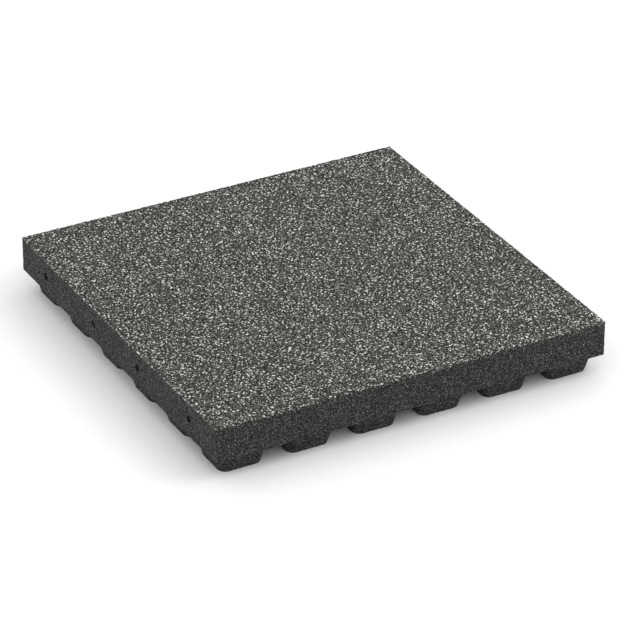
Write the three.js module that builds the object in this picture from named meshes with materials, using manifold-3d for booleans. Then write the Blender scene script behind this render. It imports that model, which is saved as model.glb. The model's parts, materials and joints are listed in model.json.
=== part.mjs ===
// Rubber safety tile: a square slab of bonded rubber granulate on a grid of drafted square feet,
// with blind dowel holes in two opposite sides. It is pressed in one piece.
// Millimetres, +Z up. The origin is the middle of the square that the feet stand on.
// The dowel holes are in the -X and +X sides.

import * as THREE from "three";
import { mergeVertices } from "three/addons/utils/BufferGeometryUtils.js";
import Module from "manifold-3d";

// Slab
const TILE_SIDE = 500;
const SLAB_THICKNESS = 43;
const UPRIGHT_CORNER_RADIUS = 1;
const TOP_ARRIS = 0.4; // bevel round the edge of the top face

// Feet and the drainage channels between them
const FEET_PER_SIDE = 6;
const FOOT_HEIGHT = 24;
const CHANNEL_WIDTH = 22.4; // between two feet, at the slab
const LEDGE_WIDTH = 8.2; // from the outer feet to the slab's side, at the slab
const FOOT_DRAFT_ANGLE = 12; // degrees from upright
const FOOT_CORNER_RADIUS = 9.3;
const ROOT_FILLET_RADIUS = 2; // hollow round where a foot meets the slab

// Dowel holes, level with the middle of the slab
const DOWEL_HOLE_DIAMETER = 9;
const DOWEL_HOLE_DEPTH = 35;
const DOWEL_INNER_SPACING = 114; // between the two inner holes of a side
const DOWEL_END_DISTANCE = 65; // from an outer hole to the tile's corner

// Fineness of the round stretches
const CORNER_DIVISIONS = 2; // each gives a round corner two facets
const FILLET_STEPS = 2;
const DOWEL_HOLE_FACETS = 12;

// How far a solid that is joined or cut runs on past the face that it meets
const OVERRUN = 5;

const RUBBER_COLOUR = 0x3b3b3a;
const RUBBER_ROUGHNESS = 0.95;

const channelsWidth = CHANNEL_WIDTH * (FEET_PER_SIDE - 1);
const footSide = (TILE_SIDE - 2 * LEDGE_WIDTH - channelsWidth) / FEET_PER_SIDE;
const footPitch = footSide + CHANNEL_WIDTH;
const topLevel = FOOT_HEIGHT + SLAB_THICKNESS;
const dowelLevel = FOOT_HEIGHT + SLAB_THICKNESS / 2;

const wasm = await Module();
wasm.setup();

function toSolid(geometry) {
  const bare = geometry.clone();
  bare.deleteAttribute("normal");
  bare.deleteAttribute("uv");
  const merged = mergeVertices(bare);
  return new wasm.Manifold(new wasm.Mesh({
    numProp: 3,
    vertProperties: new Float32Array(merged.attributes.position.array),
    triVerts: new Uint32Array(merged.index.array),
  }));
}

function toGeometry(solid) {
  const mesh = solid.getMesh();
  const geometry = new THREE.BufferGeometry();
  geometry.setAttribute("position", new THREE.BufferAttribute(mesh.vertProperties, 3));
  geometry.setIndex(new THREE.BufferAttribute(mesh.triVerts, 1));
  geometry.computeVertexNormals();
  return geometry;
}

// A square about the origin with round corners
function roundedSquare(side, radius) {
  const reach = side / 2 - radius;
  const quarter = Math.PI / 2;
  const outline = new THREE.Shape();
  outline.absarc(reach, reach, radius, 0, quarter);
  outline.absarc(-reach, reach, radius, quarter, 2 * quarter);
  outline.absarc(-reach, -reach, radius, 2 * quarter, 3 * quarter);
  outline.absarc(reach, -reach, radius, 3 * quarter, 4 * quarter);
  return outline;
}

// A round-cornered square block whose section changes with height. Each level has its height
// above the floor and its inset, by which each of its four sides is drawn in from the outline's.
// The outline is extruded in one step for each level, and its rings of points are then moved.
function levelledBlock(side, radius, levels) {
  const geometry = new THREE.ExtrudeGeometry(roundedSquare(side, radius), {
    depth: levels.length - 1,
    steps: levels.length - 1,
    bevelEnabled: false,
    curveSegments: CORNER_DIVISIONS,
  });
  const points = geometry.attributes.position;
  for (let i = 0; i < points.count; i += 1) {
    const { height, inset } = levels[Math.round(points.getZ(i))];
    const x = points.getX(i);
    const y = points.getY(i);
    points.setXYZ(i, x - Math.sign(x) * inset, y - Math.sign(y) * inset, height);
  }
  return geometry;
}

function slabGeometry() {
  return levelledBlock(TILE_SIDE, UPRIGHT_CORNER_RADIUS, [
    { height: FOOT_HEIGHT, inset: 0 },
    { height: topLevel - TOP_ARRIS, inset: 0 },
    { height: topLevel, inset: TOP_ARRIS },
  ]);
}

// The foot's wall leans in from the slab down to the base. Above it a hollow round turns out to
// the slab's underside, and from there the foot runs on up inside the slab.
function footGeometry() {
  const draft = THREE.MathUtils.degToRad(FOOT_DRAFT_ANGLE);
  const filletTurn = Math.PI / 2 - draft;
  const filletReach = ROOT_FILLET_RADIUS * Math.tan(filletTurn / 2);
  const levels = [{ height: 0, inset: FOOT_HEIGHT * Math.tan(draft) }];
  for (let step = 0; step <= FILLET_STEPS; step += 1) {
    const angle = draft + (filletTurn * step) / FILLET_STEPS;
    levels.push({
      height: FOOT_HEIGHT - ROOT_FILLET_RADIUS * (1 - Math.sin(angle)),
      inset: ROOT_FILLET_RADIUS * Math.cos(angle) - filletReach,
    });
  }
  levels.push({ height: FOOT_HEIGHT + OVERRUN, inset: -filletReach });
  return levelledBlock(footSide, FOOT_CORNER_RADIUS, levels);
}

// A round plug along X, from the hole's floor to clear of the slab's side
function dowelHoleGeometry(sideSign, offset) {
  const radius = DOWEL_HOLE_DIAMETER / 2;
  const length = DOWEL_HOLE_DEPTH + OVERRUN;
  const middle = TILE_SIDE / 2 - DOWEL_HOLE_DEPTH + length / 2;
  const geometry = new THREE.CylinderGeometry(radius, radius, length, DOWEL_HOLE_FACETS);
  geometry.rotateZ(Math.PI / 2);
  return geometry.translate(sideSign * middle, offset, dowelLevel);
}

function tileSolid() {
  let solid = toSolid(slabGeometry());
  const foot = toSolid(footGeometry());
  const firstPlace = (-footPitch * (FEET_PER_SIDE - 1)) / 2;
  for (let row = 0; row < FEET_PER_SIDE; row += 1) {
    for (let column = 0; column < FEET_PER_SIDE; column += 1) {
      const x = firstPlace + column * footPitch;
      const y = firstPlace + row * footPitch;
      solid = solid.add(foot.translate([x, y, 0]));
    }
  }
  const innerOffset = DOWEL_INNER_SPACING / 2;
  const outerOffset = TILE_SIDE / 2 - DOWEL_END_DISTANCE;
  for (const sideSign of [-1, 1]) {
    for (const offset of [-outerOffset, -innerOffset, innerOffset, outerOffset]) {
      solid = solid.subtract(toSolid(dowelHoleGeometry(sideSign, offset)));
    }
  }
  return solid;
}

const rubber = new THREE.MeshStandardMaterial({
  color: RUBBER_COLOUR,
  roughness: RUBBER_ROUGHNESS,
  metalness: 0,
});

const tile = new THREE.Mesh(toGeometry(tileSolid()), rubber);
tile.name = "safety_tile";

const part = new THREE.Group();
part.add(tile);

export default part;
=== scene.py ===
"""Dresses the rubber safety tile: its dark granulate body, the speckled tread layer, the pale granules
pressed into the tread, and a plain studio round it. Metres, in the solid's own frame."""

import json
import math
import random

import bmesh
import bpy
from mathutils import Matrix, Vector, noise


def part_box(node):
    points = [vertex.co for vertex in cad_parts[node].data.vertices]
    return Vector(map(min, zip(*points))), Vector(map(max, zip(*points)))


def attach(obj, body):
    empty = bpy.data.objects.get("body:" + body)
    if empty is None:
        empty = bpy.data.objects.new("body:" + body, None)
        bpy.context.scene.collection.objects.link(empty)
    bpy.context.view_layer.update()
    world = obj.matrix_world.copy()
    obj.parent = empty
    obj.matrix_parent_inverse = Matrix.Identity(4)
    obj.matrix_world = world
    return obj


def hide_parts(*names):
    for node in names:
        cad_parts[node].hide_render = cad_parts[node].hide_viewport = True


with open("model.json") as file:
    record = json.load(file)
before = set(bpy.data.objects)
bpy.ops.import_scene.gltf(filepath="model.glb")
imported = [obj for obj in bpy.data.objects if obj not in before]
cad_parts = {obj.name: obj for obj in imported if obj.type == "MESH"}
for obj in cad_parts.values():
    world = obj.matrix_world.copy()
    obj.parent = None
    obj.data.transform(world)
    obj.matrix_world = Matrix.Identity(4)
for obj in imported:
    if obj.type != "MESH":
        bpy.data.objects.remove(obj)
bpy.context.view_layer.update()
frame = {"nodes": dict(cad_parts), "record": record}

bl_info = {
    "name": "Rubber safety tile",
    "version": (1, 0, 0),
    "blender": (4, 5, 0),
    "location": "3D View > Sidebar > Tile",
    "description": "Granulate finish for a pressed rubber safety tile, and a studio to show it in",
    "category": "Object",
}

MM = 0.001
TILE_NODE = "safety_tile"
BODY = "root"
TILE_LOW, TILE_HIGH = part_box(TILE_NODE)
TOP_LEVEL = TILE_HIGH.z
HALF_SIDE = TILE_HIGH.x
WHITE = (1.0, 1.0, 1.0)
BAKE_MAP = "OFBake"

# Height of the middle of the dowel holes, which all lie at one level
OPENINGS = {gap["name"]: gap["box_m"] for gap in frame["record"]["physics"]["openings"]}
DOWEL_LEVEL = sum(corner[2] for corner in OPENINGS["dowel_hole_minus_x_1"]) / 2

# Points nearer than SMALLEST are one point, faces that meet at less than FLAT are one face, faces that
# meet at more than SHARP keep their edge, and faces whose normals are lower than DOWNWARD face down
SMALLEST = 1e-6
FLAT = math.radians(0.5)
SHARP = math.radians(50)
DOWNWARD = -0.5

# A cut, a line or a map that has to miss the solid's faces lies this far from them
MARGIN = 1 * MM

# Shape of a grain in the relief, as shares of its width and of the relief
GRAIN_SHOULDER = 0.45
GRAIN_LEVEL = 0.7
SWELL_WIDTH = 2.5
SWELL_HEIGHT = 0.4

# Noise that bends the outlines of the crumbs, as shares of a crumb's width
BEND_WIDTH = 1.3
BEND_REACH = 0.8

# The joints between crumbs and grains: how steeply their sides rise, and the joints' tone
CRUMB_SLOPE = 6.0
GRAIN_SLOPE = 4.0
JOINT_TONE = (0.4, 0.4, 0.4)

# Where each rubber's colour lies on the scale that the crumbs' tones are drawn from, in the body and in
# the tread
BODY_TONES = (0.0, 0.5, 0.85, 1.0)
TREAD_TONES = (0.0, 0.35, 0.75, 1.0)

# Shares of the body's bumps that are crumbs, grains and dust, shares of the tread's that are crumbs and
# dust, and the width of the dust's specks
BODY_BUMPS = (0.6, 0.25, 0.5)
TREAD_BUMPS = (0.8, 0.4)
DUST_WIDTH = 0.5 * MM

# Roughness of each rubber: the width over which it wanders, its lowest and its highest
BODY_ROUGHNESS = (4 * MM, 0.78, 0.98)
TREAD_ROUGHNESS = (3 * MM, 0.7, 0.95)
GRANULE_ROUGHNESS = (1.5 * MM, 0.55, 0.85)

# Painted shade on the walls of the dowel holes, where little light reaches: how far inside their mouths it
# starts, how far from their level it may lie, and how much of the walls' colour is turned to black
HOLE_MOUTH = 1 * MM
HOLE_REACH = 6 * MM
HOLE_SHADE = 0.25

# The ragged line where the tread's speckled mix ends: the width of its wanders, and how far below and
# above the top they may take it, as shares of the tread's depth
RAGGED_WIDTH = 3 * MM
RAGGED_BELOW = 1.1
RAGGED_ABOVE = 0.5

# Tones of one rubber's granules, as shares of its colour, the palest that rubber gets, and the noise
# that picks the tone: its width, and the values where the darkest tone ends and the lightest starts
GRANULE_TONES = (0.62, 1.3)
PALEST = 0.9
TONE_WIDTH = 2.4 * MM
TONE_ENDS = (0.3, 0.7)

# Width of the dust's specks on a granule
GRANULE_DUST_WIDTH = 0.4 * MM

# The tread's map for baking, in shares of its square: the middle and half width of what shows, and
# of the floor
MAP_MIDDLE = 0.485
MAP_REACH = 0.48
MAP_FLOOR_MIDDLE = 0.984
MAP_FLOOR_REACH = 0.012

# The studio floor: its tones, the width of its clouds, its roughness, and the width and depth of its grain
FLOOR_TONES = (0.93, 0.95)
FLOOR_CLOUDS = 0.5
FLOOR_ROUGHNESS = 0.9
FLOOR_GRAIN = 20 * MM
FLOOR_BUMP = 0.02 * MM

# Strength of the mirror light on every surface
SHEEN = 0.2


class TileSizes(bpy.types.PropertyGroup):
    """Sizes of the tile's body and of its tread layer."""

    tread_depth: bpy.props.FloatProperty(
        name="Tread depth",
        description="Thickness of the layer that carries the speckled mix",
        default=3 * MM,
        unit="LENGTH",
    )
    lattice_pitch: bpy.props.FloatProperty(
        name="Lattice pitch",
        description="Spacing of the cuts that the grain relief is modelled on",
        default=3.8 * MM,
        unit="LENGTH",
    )
    skin_depth: bpy.props.FloatProperty(
        name="Skin depth",
        description="How far in from the tile's sides the relief is modelled twice as finely",
        default=13.5 * MM,
        unit="LENGTH",
    )
    grain_size: bpy.props.FloatProperty(
        name="Grain size",
        description="Usual width of a grain in the relief",
        default=3.2 * MM,
        unit="LENGTH",
    )
    grain_relief: bpy.props.FloatProperty(
        name="Grain relief",
        description="Height of a grain above the groove beside it",
        default=0.3 * MM,
        unit="LENGTH",
    )
    arris_loss: bpy.props.FloatProperty(
        name="Arris loss",
        description="Depth to which grains have crumbled from the sharp edges",
        default=0.25 * MM,
        unit="LENGTH",
    )
    body_crumb: bpy.props.FloatProperty(
        name="Body crumb",
        description="Width of the smallest grains of the body",
        default=0.9 * MM,
        unit="LENGTH",
    )
    tread_crumb: bpy.props.FloatProperty(
        name="Tread crumb",
        description="Width of the smallest grains of the tread",
        default=1.7 * MM,
        unit="LENGTH",
    )
    body_bump: bpy.props.FloatProperty(
        name="Body bump",
        description="Depth of the finest roughness of the body",
        default=0.3 * MM,
        unit="LENGTH",
    )
    tread_bump: bpy.props.FloatProperty(
        name="Tread bump",
        description="Depth of the finest roughness of the tread",
        default=0.4 * MM,
        unit="LENGTH",
    )


class GranuleSizes(bpy.types.PropertyGroup):
    """Sizes and spread of the granules that are pressed into the tread."""

    pitch: bpy.props.FloatProperty(
        name="Pitch",
        description="Usual distance from one granule to the next",
        default=3.1 * MM,
        unit="LENGTH",
    )
    shortest: bpy.props.FloatProperty(
        name="Shortest",
        description="Length of the shortest granules",
        default=2.0 * MM,
        unit="LENGTH",
    )
    longest: bpy.props.FloatProperty(
        name="Longest",
        description="Length of the longest granules",
        default=4.8 * MM,
        unit="LENGTH",
    )
    slimness: bpy.props.FloatProperty(
        name="Slimness",
        description="Usual width of a granule over its length",
        default=0.56,
    )
    thickness: bpy.props.FloatProperty(
        name="Thickness",
        description="Thickness of a granule",
        default=1.0 * MM,
        unit="LENGTH",
    )
    proud: bpy.props.FloatProperty(
        name="Proud",
        description="How far the highest granules stand out of the rubber",
        default=0.3 * MM,
        unit="LENGTH",
    )
    bump: bpy.props.FloatProperty(
        name="Bump",
        description="Depth of the finest roughness of a granule",
        default=0.12 * MM,
        unit="LENGTH",
    )
    tilt: bpy.props.FloatProperty(
        name="Tilt",
        description="Largest lean of a granule from lying flat",
        default=math.radians(10),
        subtype="ANGLE",
    )
    mix: bpy.props.FloatVectorProperty(
        name="Mix",
        description="Shares of the cream, light grey and mid grey granules on the top face",
        default=(0.28, 0.3, 0.42),
        size=3,
    )
    bare_rim: bpy.props.FloatProperty(
        name="Bare rim",
        description="Width of the strip along the top edge that has lost its granules in places",
        default=7.5 * MM,
        unit="LENGTH",
    )
    spill: bpy.props.FloatProperty(
        name="Spill",
        description="How far down the tile's sides the granules usually reach",
        default=2.8 * MM,
        unit="LENGTH",
    )
    side_mix: bpy.props.FloatVectorProperty(
        name="Side mix",
        description="Shares of the cream, light grey and mid grey granules on the sides",
        default=(0.12, 0.38, 0.5),
        size=3,
    )
    side_scale: bpy.props.FloatProperty(
        name="Side scale",
        description="Size of the granules on the sides over that of those on the top face",
        default=0.7,
    )
    side_cover: bpy.props.FloatProperty(
        name="Side cover",
        description="Share of the places along the top edge that hold a granule",
        default=0.85,
    )
    seed: bpy.props.IntProperty(
        name="Seed",
        description="Start of the random draws",
        default=7,
    )


def colour_setting(name, description, default):
    return bpy.props.FloatVectorProperty(
        name=name,
        description=description,
        default=default,
        size=3,
        subtype="COLOR",
    )


class TileColours(bpy.types.PropertyGroup):
    """Colours of the rubbers in the mix."""

    black_rubber: colour_setting("Black rubber", "The darkest grains", (0.0055, 0.0055, 0.0053))
    dark_rubber: colour_setting("Dark rubber", "Usual grains of the body", (0.026, 0.026, 0.0253))
    dusty_rubber: colour_setting("Dusty rubber", "Paler grains of the body", (0.079, 0.079, 0.0775))
    pale_speck: colour_setting("Pale speck", "The palest grains of the body", (0.25, 0.25, 0.2455))
    tread_dark: colour_setting("Tread dark", "Dark grains of the tread", (0.025, 0.0262, 0.0192))
    tread_dusty: colour_setting("Tread dusty", "Paler grains of the tread", (0.063, 0.0655, 0.0525))
    mid_grey: colour_setting("Mid grey", "Grey granules of the tread", (0.152, 0.156, 0.137))
    light_grey: colour_setting("Light grey", "Light grey granules of the tread", (0.41, 0.417, 0.38))
    cream: colour_setting("Cream", "The palest granules of the tread", (0.89, 0.898, 0.835))


class StudioSettings(bpy.types.PropertyGroup):
    """The camera's place and the strength of the studio light."""

    camera_place: bpy.props.FloatVectorProperty(
        name="Camera place",
        description="Where the camera stands",
        default=(-1.8886, -3.4755, 2.2568),
        subtype="TRANSLATION",
        unit="LENGTH",
    )
    camera_aim: bpy.props.FloatVectorProperty(
        name="Camera aim",
        description="The point in the middle of the picture",
        default=(-0.0339, -0.0789, 0.067),
        subtype="TRANSLATION",
        unit="LENGTH",
    )
    camera_roll: bpy.props.FloatProperty(
        name="Camera roll",
        description="Turn of the camera about its line of sight",
        default=math.radians(0.147),
        subtype="ANGLE",
    )
    lens: bpy.props.FloatProperty(
        name="Lens",
        description="Focal length of the camera",
        default=222.4,
        subtype="DISTANCE_CAMERA",
    )
    sky: bpy.props.FloatProperty(
        name="Sky",
        description="Strength of the even light from all round",
        default=1.112,
    )
    key: bpy.props.FloatProperty(
        name="Key light",
        description="Power of the large soft lamp overhead",
        default=15.0,
        subtype="POWER",
    )
    key_place: bpy.props.FloatVectorProperty(
        name="Key light's place",
        description="Where the lamp hangs",
        default=(1.75, -1.3, 2.2),
        subtype="TRANSLATION",
        unit="LENGTH",
    )
    key_size: bpy.props.FloatProperty(
        name="Key light's size",
        description="Side of the lamp's square",
        default=1.5,
        unit="LENGTH",
    )
    floor_reach: bpy.props.FloatProperty(
        name="Floor reach",
        description="How far the floor reaches from the tile's middle",
        default=8.0,
        unit="LENGTH",
    )


class Field:
    """A socket's value, so that sums on it can be written as expressions."""

    def __init__(self, finish, socket):
        self.finish = finish
        self.socket = socket

    def sum_with(self, operation, first, second):
        settings = {"operation": operation}
        return self.finish.field("ShaderNodeMath", settings, {0: first, 1: second})

    def __add__(self, other):
        return self.sum_with("ADD", self, other)

    def __sub__(self, other):
        return self.sum_with("SUBTRACT", self, other)

    def __rsub__(self, other):
        return self.sum_with("SUBTRACT", other, self)

    def __abs__(self):
        return self.sum_with("ABSOLUTE", self, 0.0)

    def __mul__(self, other):
        return self.sum_with("MULTIPLY", self, other)

    __radd__ = __add__
    __rmul__ = __mul__

    def at_most(self, other):
        return self.sum_with("MINIMUM", self, other)

    def at_least(self, other):
        return self.sum_with("MAXIMUM", self, other)

    def above(self, other):
        return self.sum_with("GREATER_THAN", self, other)


class Finish:
    """A material, with the one method that all of its nodes come from."""

    def __init__(self, name):
        self.material = bpy.data.materials.new(name)
        self.material.use_nodes = True
        self.tree = self.material.node_tree
        self.tree.nodes.clear()
        place = self.node("ShaderNodeTexCoord")
        self.place = Field(self, place.outputs["Object"])

    def node(self, kind, settings=None, inputs=None):
        made = self.tree.nodes.new(kind)
        for name, value in (settings or {}).items():
            if name == "stops":
                self.set_stops(made.color_ramp, value)
            else:
                setattr(made, name, value)
        for key, value in (inputs or {}).items():
            if isinstance(value, Field):
                self.tree.links.new(value.socket, made.inputs[key])
            else:
                made.inputs[key].default_value = value
        return made

    def field(self, kind, settings=None, inputs=None, output=0):
        return Field(self, self.node(kind, settings, inputs).outputs[output])

    @staticmethod
    def set_stops(ramp, stops):
        while len(ramp.elements) < len(stops):
            ramp.elements.new(1.0)
        for element, (position, colour) in zip(ramp.elements, stops):
            element.position = position
            element.color = (*colour, 1.0)

    def axes(self):
        split = self.node("ShaderNodeSeparateXYZ", None, {0: self.place})
        return [Field(self, output) for output in split.outputs]

    def crooked(self, width):
        """The place, pushed about by noise so that the grains of a pattern lose their straight sides."""
        inputs = {"Vector": self.place, "Scale": 1 / (BEND_WIDTH * width)}
        push = self.field("ShaderNodeTexNoise", None, inputs, "Color")
        settings = {"operation": "MULTIPLY_ADD"}
        inputs = {0: push, 1: (BEND_REACH * width,) * 3, 2: self.place}
        return self.field("ShaderNodeVectorMath", settings, inputs)

    def grains(self, width, place):
        """The random number of each grain, and how far a point is from the edge of its own."""
        inputs = {"Vector": place, "Scale": 1 / width}
        cells = self.node("ShaderNodeTexVoronoi", {"feature": "F1"}, inputs)
        edge = self.field("ShaderNodeTexVoronoi", {"feature": "DISTANCE_TO_EDGE"}, inputs)
        parts = self.node("ShaderNodeSeparateColor", None, {0: Field(self, cells.outputs["Color"])})
        return Field(self, parts.outputs[0]), edge

    def mottle(self, width, detail=2.0):
        inputs = {"Vector": self.place, "Scale": 1 / width, "Detail": detail}
        return self.field("ShaderNodeTexNoise", None, inputs, "Fac")

    def drift(self, width, low, high):
        """A number that wanders between two others, a width or so from one to the other."""
        return self.mottle(width) * (high - low) + low

    def ramp(self, value, stops):
        return self.field("ShaderNodeValToRGB", {"stops": stops}, {0: value}, "Color")

    def blend(self, share, first, second, blend_type="MIX"):
        """Colours mixed. The Mix node's colour sockets are its seventh and eighth."""
        settings = {"data_type": "RGBA", "blend_type": blend_type}
        return self.field("ShaderNodeMix", settings, {0: share, 6: first, 7: second}, 2)

    def surface(self, colour, roughness, height, relief):
        bump = self.field(
            "ShaderNodeBump", None, {"Strength": 1.0, "Distance": relief, "Height": height}
        )
        shader = self.field(
            "ShaderNodeBsdfPrincipled",
            None,
            {
                "Base Color": colour,
                "Roughness": roughness,
                "Normal": bump,
                "Specular IOR Level": SHEEN,
            },
        )
        self.node("ShaderNodeOutputMaterial", None, {"Surface": shader})
        return self.material


def granulate(finish, crumb, stops):
    """Crumbs whose tones are drawn from the stops, with dark joints between them, and their height."""
    tone, edge = finish.grains(crumb, finish.crooked(crumb))
    height = (edge * CRUMB_SLOPE).at_most(1.0)
    joint = finish.ramp(height, [(0.0, JOINT_TONE), (1.0, WHITE)])
    return finish.blend(1.0, finish.ramp(tone, stops), joint, "MULTIPLY"), height


def body_colour(finish, colours, crumb):
    rubbers = (colours.black_rubber, colours.dark_rubber, colours.dusty_rubber, colours.pale_speck)
    return granulate(finish, crumb, list(zip(BODY_TONES, rubbers)))


def hole_painted_shade_mask(finish):
    """1 on the walls of the dowel holes, from a little way inside their mouths, where their painted shade
    goes, and 0 elsewhere.
    """
    x, y, z = finish.axes()
    depth = HALF_SIDE - abs(x).at_least(abs(y))
    beside = abs(z - DOWEL_LEVEL)
    return depth.above(HOLE_MOUTH) * (HOLE_REACH - beside).above(0.0)


def dark_granulate(colours, sizes):
    finish = Finish("dark_granulate")
    colour, crumbs = body_colour(finish, colours, sizes.body_crumb)
    # Painted shade: the walls of the dowel holes are darkened towards black rubber, as if in shadow
    colour = finish.blend(hole_painted_shade_mask(finish) * HOLE_SHADE, colour, (*colours.black_rubber, 1.0))
    grain_edge = finish.grains(sizes.grain_size, finish.place)[1]
    grains = (grain_edge * GRAIN_SLOPE).at_most(1.0)
    crumb_share, grain_share, dust_share = BODY_BUMPS
    height = crumbs * crumb_share + grains * grain_share + finish.mottle(DUST_WIDTH) * dust_share
    return finish.surface(colour, finish.drift(*BODY_ROUGHNESS), height, sizes.body_bump)


def speckled_tread(colours, sizes):
    """The tread's ground mix. It turns into the body's granulate at a ragged line near the top edge."""
    finish = Finish("speckled_tread")
    rubbers = (colours.black_rubber, colours.tread_dark, colours.tread_dusty, colours.mid_grey)
    speckle, crumbs = granulate(finish, sizes.tread_crumb, list(zip(TREAD_TONES, rubbers)))
    dark = body_colour(finish, colours, sizes.body_crumb)[0]
    level = finish.axes()[2]
    lowest = TOP_LEVEL - RAGGED_BELOW * sizes.tread_depth
    highest = TOP_LEVEL + RAGGED_ABOVE * sizes.tread_depth
    ragged = finish.drift(RAGGED_WIDTH, lowest, highest)
    colour = finish.blend(level.above(ragged), dark, speckle)
    crumb_share, dust_share = TREAD_BUMPS
    height = crumbs * crumb_share + finish.mottle(DUST_WIDTH) * dust_share
    return finish.surface(colour, finish.drift(*TREAD_ROUGHNESS), height, sizes.tread_bump)


def granule_finish(name, colour, bump):
    """One rubber of the tread's granules. Its tone drifts a little from granule to granule."""
    finish = Finish(name)
    tones = [[min(part * share, PALEST) for part in colour] for share in GRANULE_TONES]
    tone = finish.ramp(finish.mottle(TONE_WIDTH, detail=1.0), list(zip(TONE_ENDS, tones)))
    roughness = finish.drift(*GRANULE_ROUGHNESS)
    return finish.surface(tone, roughness, finish.mottle(GRANULE_DUST_WIDTH), bump)


def grain_height(place, sizes):
    """Height of the grain relief at a place. Grooves lie below the solid's face, and the backs of most
    grains a little above it."""
    near, far = noise.voronoi(place / sizes.grain_size)[0][:2]
    back = min((far - near) / GRAIN_SHOULDER, 1.0)
    swell = noise.noise(place / (SWELL_WIDTH * sizes.grain_size))
    return (back - GRAIN_LEVEL + SWELL_HEIGHT * swell) * sizes.grain_relief


def corner_of_solid(low, high):
    """The quarter of the tile's solid where X and Y are over 0, between two levels, as a bmesh."""
    bm = bmesh.new()
    bm.from_mesh(frame["nodes"][TILE_NODE].data)
    bmesh.ops.remove_doubles(bm, verts=bm.verts, dist=SMALLEST)
    cuts = [
        ((0, 0, 0), (1, 0, 0)),
        ((0, 0, 0), (0, 1, 0)),
        ((0, 0, low), (0, 0, 1)),
        ((0, 0, high), (0, 0, -1)),
    ]
    for place, normal in cuts:
        bmesh.ops.bisect_plane(
            bm,
            geom=bm.verts[:] + bm.edges[:] + bm.faces[:],
            dist=SMALLEST,
            plane_co=place,
            plane_no=normal,
            clear_inner=True,
        )
    return bm


def cut_lattice(bm, pitch):
    """Cuts the faces along planes a pitch apart, then takes out the solid's own flat diagonals."""
    diagonal = bm.edges.layers.int.new("diagonal")
    for edge in bm.edges:
        edge[diagonal] = edge.is_manifold and edge.calc_face_angle() < FLAT
    geom = bm.verts[:] + bm.edges[:] + bm.faces[:]
    for axis, reach in enumerate(TILE_HIGH):
        normal = Vector((axis == 0, axis == 1, axis == 2))
        for step in range(1, math.ceil(reach / pitch)):
            geom = bmesh.ops.bisect_plane(
                bm, geom=geom, dist=SMALLEST, plane_co=normal * step * pitch, plane_no=normal
            )["geom"]
    spare = [edge for edge in bm.edges if edge[diagonal] and edge.is_manifold]
    bmesh.ops.dissolve_edges(bm, edges=spare, use_verts=True)
    bm.edges.layers.int.remove(diagonal)


def refine(bm, faces):
    """Halves the edges of some faces. Each edge is listed once, and in the same order each run."""
    edges = list(dict.fromkeys(edge for face in faces for edge in face.edges))
    bmesh.ops.subdivide_edges(bm, edges=edges, cuts=1, use_grid_fill=True)


def mirror_quarter(bm):
    for axis in ("X", "Y"):
        bmesh.ops.mirror(
            bm,
            geom=bm.verts[:] + bm.edges[:] + bm.faces[:],
            matrix=Matrix.Identity(4),
            merge_dist=SMALLEST,
            axis=axis,
        )
    bmesh.ops.recalc_face_normals(bm, faces=bm.faces)


def roughen(bm, sizes):
    """Moves the skin out and in by the grain relief, and lets the sharp edges crumble a little."""
    bm.normal_update()
    arris = {
        vert
        for edge in bm.edges
        if edge.is_manifold and edge.calc_face_angle() > SHARP
        for vert in edge.verts
    }
    moves = []
    for vert in bm.verts:
        move = grain_height(vert.co, sizes)
        if vert in arris:
            move -= sizes.arris_loss * max(0.0, noise.noise(vert.co / sizes.grain_size))
        moves.append(vert.normal * move)
    for vert, move in zip(bm.verts, moves):
        vert.co += move
        vert.co.z = max(vert.co.z, 0.0)


def close_rim(bm):
    rim = [edge for edge in bm.edges if edge.is_boundary]
    bmesh.ops.edgeloop_fill(bm, edges=rim)
    bmesh.ops.recalc_face_normals(bm, faces=bm.faces)


def fold_out(bm, depth):
    """Maps the tread for baking: its top seen from above, with the sides folded out round it, and its
    floor, which never shows, small in a corner."""
    layer = bm.loops.layers.uv.new(BAKE_MAP)
    inner = HALF_SIDE - MARGIN
    middle, floor_middle = (Vector((place, place)) for place in (MAP_MIDDLE, MAP_FLOOR_MIDDLE))
    scale = MAP_REACH / (HALF_SIDE + depth + MARGIN)
    floor_scale = MAP_FLOOR_REACH / HALF_SIDE
    for face in bm.faces:
        for loop in face.loops:
            x, y, z = loop.vert.co
            if face.normal.z < DOWNWARD:
                loop[layer].uv = Vector((x, y)) * floor_scale + floor_middle
            else:
                drop = max(TOP_LEVEL - z, 0.0)
                x += math.copysign(drop, x) * (abs(x) > inner)
                y += math.copysign(drop, y) * (abs(y) > inner)
                loop[layer].uv = Vector((x, y)) * scale + middle


def shade_smooth(bm):
    for face in bm.faces:
        face.smooth = True
    for edge in bm.edges:
        edge.smooth = edge.calc_face_angle() < SHARP


def make_whole(bm, fine, sizes):
    """Turns a quarter into a whole layer, its fine faces split, its skin rough and its rim closed."""
    refine(bm, fine)
    mirror_quarter(bm)
    roughen(bm, sizes)
    close_rim(bm)
    shade_smooth(bm)


def show(bm, name, material):
    """Puts a finished mesh in the scene. It has to be closed, or the step that made it has failed."""
    if not all(edge.is_manifold for edge in bm.edges):
        raise RuntimeError(name + " isn't closed: try other sizes")
    mesh = bpy.data.meshes.new(name)
    bm.to_mesh(mesh)
    bm.free()
    solids_normals = mesh.attributes.get("custom_normal")
    if solids_normals:
        mesh.attributes.remove(solids_normals)
    piece = bpy.data.objects.new(name, mesh)
    bpy.context.scene.collection.objects.link(piece)
    mesh.materials.append(material)
    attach(piece, BODY)
    return piece


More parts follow.
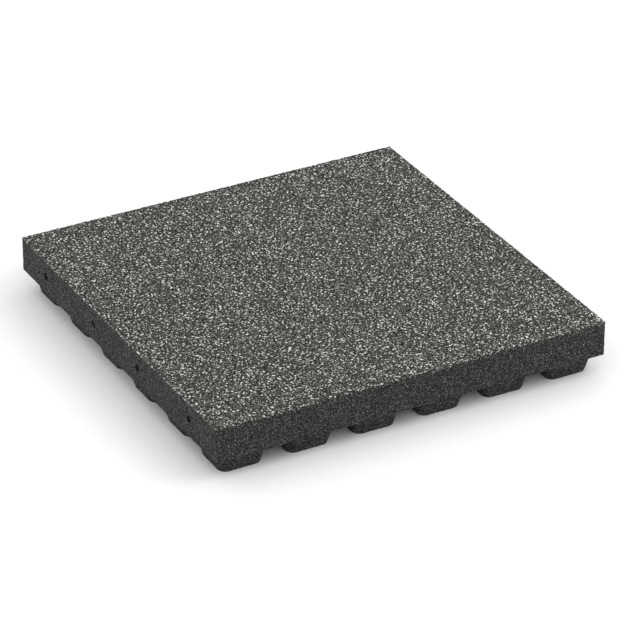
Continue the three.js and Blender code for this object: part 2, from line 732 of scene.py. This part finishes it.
class TILE_OT_body(bpy.types.Operator):
    """Models the slab, its feet and dowel holes with the granulate's relief"""

    bl_idname = "tile.body"
    bl_label = "Tile body"

    def execute(self, context):
        sizes = context.scene.tile_sizes
        bm = corner_of_solid(-MARGIN, TOP_LEVEL - sizes.tread_depth)
        cut_lattice(bm, sizes.lattice_pitch)
        inside = HALF_SIDE - sizes.skin_depth
        outer = [face for face in bm.faces if max(face.calc_center_median().xy) > inside]
        make_whole(bm, outer, sizes)
        piece = show(bm, "tile_body", dark_granulate(context.scene.tile_colours, sizes))
        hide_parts(TILE_NODE)
        return {"FINISHED"}


class TILE_OT_tread(bpy.types.Operator):
    """Models the speckled layer that the tile's top is pressed from"""

    bl_idname = "tile.tread"
    bl_label = "Tread layer"

    def execute(self, context):
        sizes = context.scene.tile_sizes
        bm = corner_of_solid(TOP_LEVEL - sizes.tread_depth, TOP_LEVEL + MARGIN)
        cut_lattice(bm, sizes.lattice_pitch)
        make_whole(bm, bm.faces, sizes)
        fold_out(bm, sizes.tread_depth)
        piece = show(bm, "tread_layer", speckled_tread(context.scene.tile_colours, sizes))
        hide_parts(TILE_NODE)
        return {"FINISHED"}


class GranuleBed:
    """Granules of one rubber. They are made in small blocks, because an operator works on a whole mesh."""

    # A granule's shape: how many sides it may have, the radius of its face over its length, its width
    # over the usual one, how far its corners stray, and how far out its face is, as a share of "proud"
    SIDES = (4, 4, 5)
    TOP_RADIUS = 0.36
    WIDTHS = (0.7, 1.3)
    UNEVENNESS = 0.14
    STANDING = (0.2, 1.0)

    # Where a granule's upper faces and its base lie in its cell of the map, each as middle and scale
    FACE_PATCH = (0.42, 0.8)
    BASE_PATCH = (0.87, 0.22)

    def __init__(self):
        self.count = 0
        self.all = self.new_mesh()
        self.block = self.new_mesh()

    @staticmethod
    def new_mesh():
        bm = bmesh.new()
        bm.loops.layers.uv.new(BAKE_MAP)
        bm.faces.layers.int.new("granule")
        return bm

    def press_in(self, draw, spread, scale, place, normal):
        """One granule: a low, uneven frustum, sunk in the surface and leaning a little."""
        corners = bmesh.ops.create_cone(
            self.block,
            cap_ends=True,
            segments=draw.choice(self.SIDES),
            radius1=0.5,
            radius2=self.TOP_RADIUS,
            depth=1.0,
        )["verts"]
        self.lay_out(corners)
        length = scale * draw.uniform(spread.shortest, spread.longest)
        width = length * spread.slimness * draw.uniform(*self.WIDTHS)
        size = Vector((length, width, spread.thickness))
        lean = Matrix.Rotation(draw.uniform(-spread.tilt, spread.tilt), 3, "X")
        spin = Matrix.Rotation(draw.uniform(0, 2 * math.pi), 3, "Z")
        stand = normal.to_track_quat("Z", "Y").to_matrix()
        top = draw.uniform(*self.STANDING) * spread.proud
        for corner in corners:
            stray = [draw.uniform(-self.UNEVENNESS, self.UNEVENNESS) for axis in "xyz"]
            seated = spin @ lean @ ((corner.co + Vector(stray)) * size)
            seated.z = min(seated.z + top - spread.thickness / 2, spread.proud)
            corner.co = within_mould(place + stand @ seated, spread.proud)

    def lay_out(self, corners):
        """Maps the new granule in its cell for baking: seen from above, with its base small beside it."""
        number = self.block.faces.layers.int["granule"]
        layer = self.block.loops.layers.uv[BAKE_MAP]
        for face in {face for corner in corners for face in corner.link_faces}:
            is_base = all(vert.co.z < 0 for vert in face.verts)
            middle, scale = self.BASE_PATCH if is_base else self.FACE_PATCH
            face[number] = self.count
            for loop in face.loops:
                loop[layer].uv = loop.vert.co.xy * scale + Vector((middle, middle))
        self.count += 1

    def store_block(self):
        mesh = bpy.data.meshes.new("granule_block")
        self.block.to_mesh(mesh)
        self.all.from_mesh(mesh)
        bpy.data.meshes.remove(mesh)
        self.block.free()
        self.block = self.new_mesh()

    def finish(self):
        """Sets the granules' cells side by side in a square, and gives back the mesh of them all."""
        self.block.free()
        number = self.all.faces.layers.int["granule"]
        layer = self.all.loops.layers.uv[BAKE_MAP]
        across = math.ceil(math.sqrt(self.count))
        for face in self.all.faces:
            cell = Vector(divmod(face[number], across))
            for loop in face.loops:
                loop[layer].uv = (loop[layer].uv + cell) / across
        self.all.faces.layers.int.remove(number)
        return self.all


def within_mould(point, proud):
    """The nearest place that the tile's mould has room for, where granules may stand a little proud."""
    return Vector(
        min(max(value, low - proud), high + proud)
        for value, low, high in zip(point, TILE_LOW, TILE_HIGH)
    )


class GranuleMix:
    """Draws granules at random from the three rubbers of the mix, each into its own bed."""

    RUBBERS = ("cream", "light_grey", "mid_grey")

    # Width of a patch, in lengths of the longest granules
    PATCH_WIDTH = 2

    def __init__(self, scene):
        self.spread = scene.granule_sizes
        self.relief = scene.tile_sizes
        self.draw = random.Random(self.spread.seed)
        self.beds = {rubber: GranuleBed() for rubber in self.RUBBERS}

    def press_in(self, shares, scale, place, normal):
        rubber = self.draw.choices(self.RUBBERS, shares)[0]
        self.beds[rubber].press_in(self.draw, self.spread, scale, place, normal)

    def store_blocks(self):
        for bed in self.beds.values():
            bed.store_block()

    def patch(self, place):
        """A number that is over 0 in patches a few granules wide, and under 0 between them."""
        return noise.noise(place / (self.PATCH_WIDTH * self.spread.longest))

    def fill_top(self, low_x, low_y, side):
        """Granules on one block of the top face, each somewhere in its own square of a grid."""
        spread = self.spread
        count = round(side / spread.pitch)
        up = Vector((0, 0, 1))
        for row in range(count):
            for column in range(count):
                x = low_x + (column + self.draw.random()) * side / count
                y = low_y + (row + self.draw.random()) * side / count
                place = Vector((x, y, TOP_LEVEL))
                place.z += grain_height(place, self.relief)
                bare = spread.bare_rim * self.patch(place)
                if max(abs(x), abs(y)) < HALF_SIDE - bare:
                    self.press_in(spread.mix, 1.0, place, up)
        self.store_blocks()

    def fill_side(self, quarter):
        """Granules that have spilled from the top face a little way down one side."""
        spread = self.spread
        turn = Matrix.Rotation(quarter * math.pi / 2, 3, "Z")
        count = round(2 * HALF_SIDE / (spread.side_scale * spread.pitch))
        for step in range(count):
            along = (step + self.draw.random()) / count * 2 * HALF_SIDE - HALF_SIDE
            place = turn @ Vector((HALF_SIDE, along, TOP_LEVEL))
            place.z -= spread.spill * (1 - self.patch(place)) * self.draw.random() ** 2
            if self.draw.random() < spread.side_cover:
                self.press_in(spread.side_mix, spread.side_scale, place, turn @ Vector((1, 0, 0)))
        self.store_blocks()


class TILE_OT_granules(bpy.types.Operator):
    """Presses the pale granules into the tread, and lets some spill over its edge"""

    bl_idname = "tile.granules"
    bl_label = "Tread granules"

    # Blocks of granules along each side of the top face
    BLOCKS = 20

    def execute(self, context):
        scene = context.scene
        mix = GranuleMix(scene)
        side = 2 * HALF_SIDE / self.BLOCKS
        for x in range(self.BLOCKS):
            for y in range(self.BLOCKS):
                mix.fill_top(x * side - HALF_SIDE, y * side - HALF_SIDE, side)
        for quarter in range(4):
            mix.fill_side(quarter)
        for rubber, bed in mix.beds.items():
            colour = getattr(scene.tile_colours, rubber)
            finish = granule_finish(rubber + "_rubber", colour, scene.granule_sizes.bump)
            show(bed.finish(), rubber + "_granules", finish)
        return {"FINISHED"}


class TILE_OT_studio(bpy.types.Operator):
    """Sets the tile on a pale floor under soft light, with the camera above its front corner"""

    bl_idname = "tile.studio"
    bl_label = "Studio"

    def execute(self, context):
        scene = context.scene
        studio = scene.tile_studio
        self.make_floor(scene, studio)
        self.make_light(scene, studio)
        self.make_camera(scene, studio)
        scene.view_settings.view_transform = "Standard"
        return {"FINISHED"}

    def make_floor(self, scene, studio):
        bm = bmesh.new()
        bmesh.ops.create_grid(bm, x_segments=1, y_segments=1, size=studio.floor_reach)
        mesh = bpy.data.meshes.new("floor")
        bm.to_mesh(mesh)
        bm.free()
        floor = bpy.data.objects.new("floor", mesh)
        scene.collection.objects.link(floor)
        finish = Finish("floor_paint")
        darker, lighter = ((tone,) * 3 for tone in FLOOR_TONES)
        tone = finish.ramp(finish.mottle(FLOOR_CLOUDS), [(0.0, darker), (1.0, lighter)])
        grain = finish.mottle(FLOOR_GRAIN)
        mesh.materials.append(finish.surface(tone, FLOOR_ROUGHNESS, grain, FLOOR_BUMP))

    def make_light(self, scene, studio):
        world = bpy.data.worlds.new("studio_sky")
        world.use_nodes = True
        sky = world.node_tree.nodes["Background"]
        sky.inputs["Color"].default_value = (*WHITE, 1.0)
        sky.inputs["Strength"].default_value = studio.sky
        scene.world = world
        lamp = bpy.data.lights.new("key_lamp", "AREA")
        lamp.energy = studio.key
        lamp.size = studio.key_size
        holder = bpy.data.objects.new("key_lamp", lamp)
        holder.location = studio.key_place
        holder.rotation_euler = (-holder.location).to_track_quat("-Z", "Y").to_euler()
        scene.collection.objects.link(holder)

    def make_camera(self, scene, studio):
        lens = bpy.data.cameras.new("camera")
        lens.lens = studio.lens
        camera = bpy.data.objects.new("camera", lens)
        place = Vector(studio.camera_place)
        look = (Vector(studio.camera_aim) - place).to_track_quat("-Z", "Y").to_matrix()
        roll = Matrix.Rotation(studio.camera_roll, 3, "Z")
        camera.location = place
        camera.rotation_euler = (look @ roll).to_euler()
        scene.collection.objects.link(camera)
        scene.camera = camera


class TILE_PT_steps(bpy.types.Panel):
    """Lists the steps that dress the tile"""

    bl_idname = "TILE_PT_steps"
    bl_label = "Safety tile"
    bl_space_type = "VIEW_3D"
    bl_region_type = "UI"
    bl_category = "Tile"

    def draw(self, context):
        for step in STEPS:
            self.layout.operator(step.bl_idname)


STEPS = (TILE_OT_body, TILE_OT_tread, TILE_OT_granules, TILE_OT_studio)
SETTINGS = {
    "tile_sizes": TileSizes,
    "granule_sizes": GranuleSizes,
    "tile_colours": TileColours,
    "tile_studio": StudioSettings,
}


def register():
    for kind in (*SETTINGS.values(), *STEPS, TILE_PT_steps):
        bpy.utils.register_class(kind)
    for name, kind in SETTINGS.items():
        setattr(bpy.types.Scene, name, bpy.props.PointerProperty(type=kind))


def unregister():
    for name in SETTINGS:
        delattr(bpy.types.Scene, name)
    for kind in reversed((*SETTINGS.values(), *STEPS, TILE_PT_steps)):
        bpy.utils.unregister_class(kind)


def main():
    register()
    bpy.ops.tile.body()
    bpy.ops.tile.tread()
    bpy.ops.tile.granules()
    bpy.ops.tile.studio()


if __name__ == "__main__":
    main()
